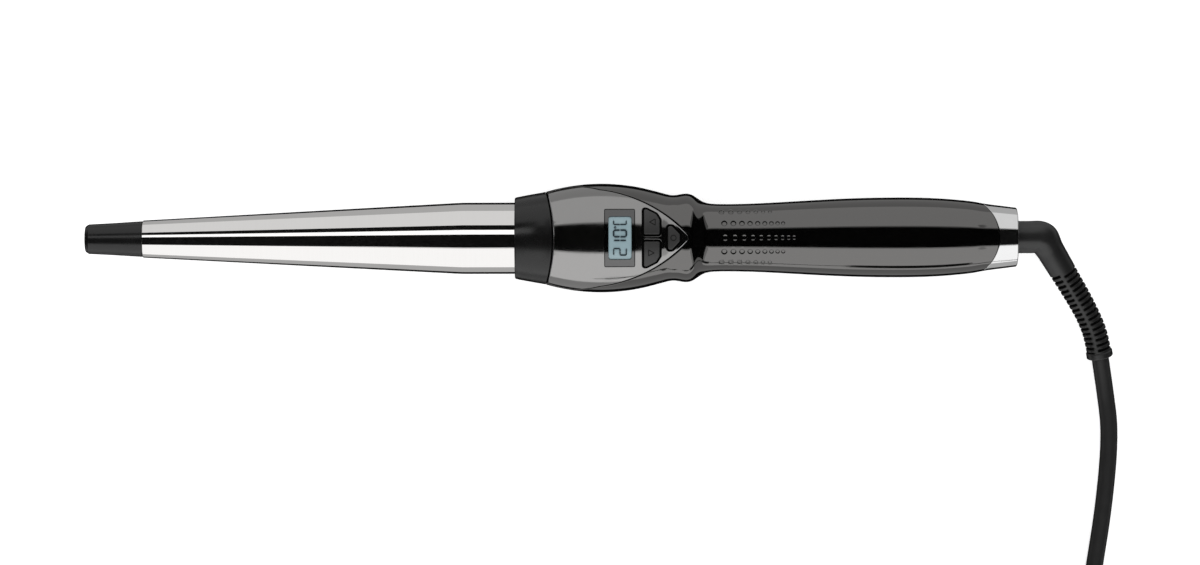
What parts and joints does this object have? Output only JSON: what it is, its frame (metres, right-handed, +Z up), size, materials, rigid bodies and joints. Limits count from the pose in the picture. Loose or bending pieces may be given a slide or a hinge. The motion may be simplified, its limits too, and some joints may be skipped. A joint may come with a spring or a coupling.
{
  "type": "curling wand",
  "caption": "Hair-styling wand with a tapered mirror barrel, cool tip, head with display and press keys, smooth handle and a swivel mains cord.",
  "frame": {"origin": "on the table, under the centre of the wand without its cord", "axes": "+X along the wand from the cool tip to the cord end, +Z up on the side of the display and keys"},
  "size_m": [0.3638, 0.2496, 0.036],
  "materials": {
    "chrome": "mirror polished",
    "barrel_mirror": "mirror polished plated tube",
    "aluminium": "as extruded",
    "black_matte": "fine satin",
    "shell_gloss": "dark grey metallic gloss",
    "panel_satin": "satin gunmetal lacquer",
    "lens_dark": "smoked clear window",
    "lcd_glass": "grey-blue display",
    "white_plastic": "plain",
    "key_grey": "satin",
    "board_green": "solder mask",
    "chip_black": "moulded",
    "capacitor_blue": "dipped",
    "steel": "zinc plated",
    "brass": "plain",
    "ceramic": "fired",
    "mica_sleeve": "polyimide film",
    "heat_plastic": "phenolic",
    "wire_white": "silicone",
    "wire_red": "silicone",
    "wire_blue": "silicone",
    "wire_brown": "pvc",
    "contact_rubber": "elastomer",
    "cord_black": "satin pvc",
    "plug_black": "moulded pvc"
  },
  "bodies": {
    "wand": {"barrel": "barrel_mirror", "barrel_mount": "heat_plastic", "barrel_screws": "steel", "cool_tip": "black_matte", "tip_plug": "ceramic", "tip_screw": "steel", "heat_spreader_upper": "aluminium", "heat_spreader_lower": "aluminium", "heater_sleeve": "mica_sleeve", "electrode_upper": "aluminium", "electrode_lower": "aluminium", "ptc_stones": "ceramic", "heater_spring": "steel", "temperature_sensor": "ceramic", "collar": "black_matte", "upper_shell": "shell_gloss", "lower_shell": "shell_gloss", "shell_screws": "steel", "top_panel": "panel_satin", "display_window": "lens_dark", "display_glass": "lcd_glass", "display_backlight": "white_plastic", "display_contact_strips": "contact_rubber", "up_key_switch": "chip_black", "down_key_switch": "chip_black", "power_key_switch": "chip_black", "control_board": "board_green", "board_screws": "steel", "triac": "chip_black", "filter_capacitor": "capacitor_blue", "controller_chip": "chip_black", "supply_capacitor": "capacitor_blue", "thermal_fuse": "white_plastic", "heater_lead_live": "wire_red", "heater_lead_neutral": "wire_white", "sensor_lead": "wire_white", "supply_lead_live": "wire_brown", "supply_lead_neutral": "wire_blue", "end_ring": "chrome", "swivel_housing": "black_matte", "brush_live": "brass", "brush_neutral": "brass", "brush_holders": "white_plastic"},
    "up_key_body": {"up_key": "key_grey", "up_key_plunger": "white_plastic"},
    "down_key_body": {"down_key": "key_grey", "down_key_plunger": "white_plastic"},
    "power_key_body": {"power_key": "key_grey", "power_key_plunger": "white_plastic"},
    "cord_swivel_body": {"swivel_rotor": "black_matte", "slip_ring_live": "brass", "slip_ring_neutral": "brass", "boot": "cord_black", "cord_tube": "cord_black", "cord_tail": "cord_black", "cord_coil": "cord_black", "cord_tie": "black_matte", "plug_body": "plug_black", "plug_pins": "chrome", "pin_sleeves": "plug_black"}
  },
  "joints": [
    {"name": "up_key_press", "type": "slide", "parent": "wand", "child": "up_key_body", "axis": [0, 0, -1], "range_m": [0, 0.0004], "stiffness_N_per_m": 1500, "springref_m": -0.0003},
    {"name": "down_key_press", "type": "slide", "parent": "wand", "child": "down_key_body", "axis": [0, 0, -1], "range_m": [0, 0.0004], "stiffness_N_per_m": 1500, "springref_m": -0.0003},
    {"name": "power_key_press", "type": "slide", "parent": "wand", "child": "power_key_body", "axis": [0, 0, -1], "range_m": [0, 0.0004], "stiffness_N_per_m": 1500, "springref_m": -0.0003},
    {"name": "cord_swivel", "type": "hinge", "parent": "wand", "child": "cord_swivel_body", "pos_m": [0.1635, 0, 0.017], "axis": [1, 0, 0], "continuous": true}
  ]
}
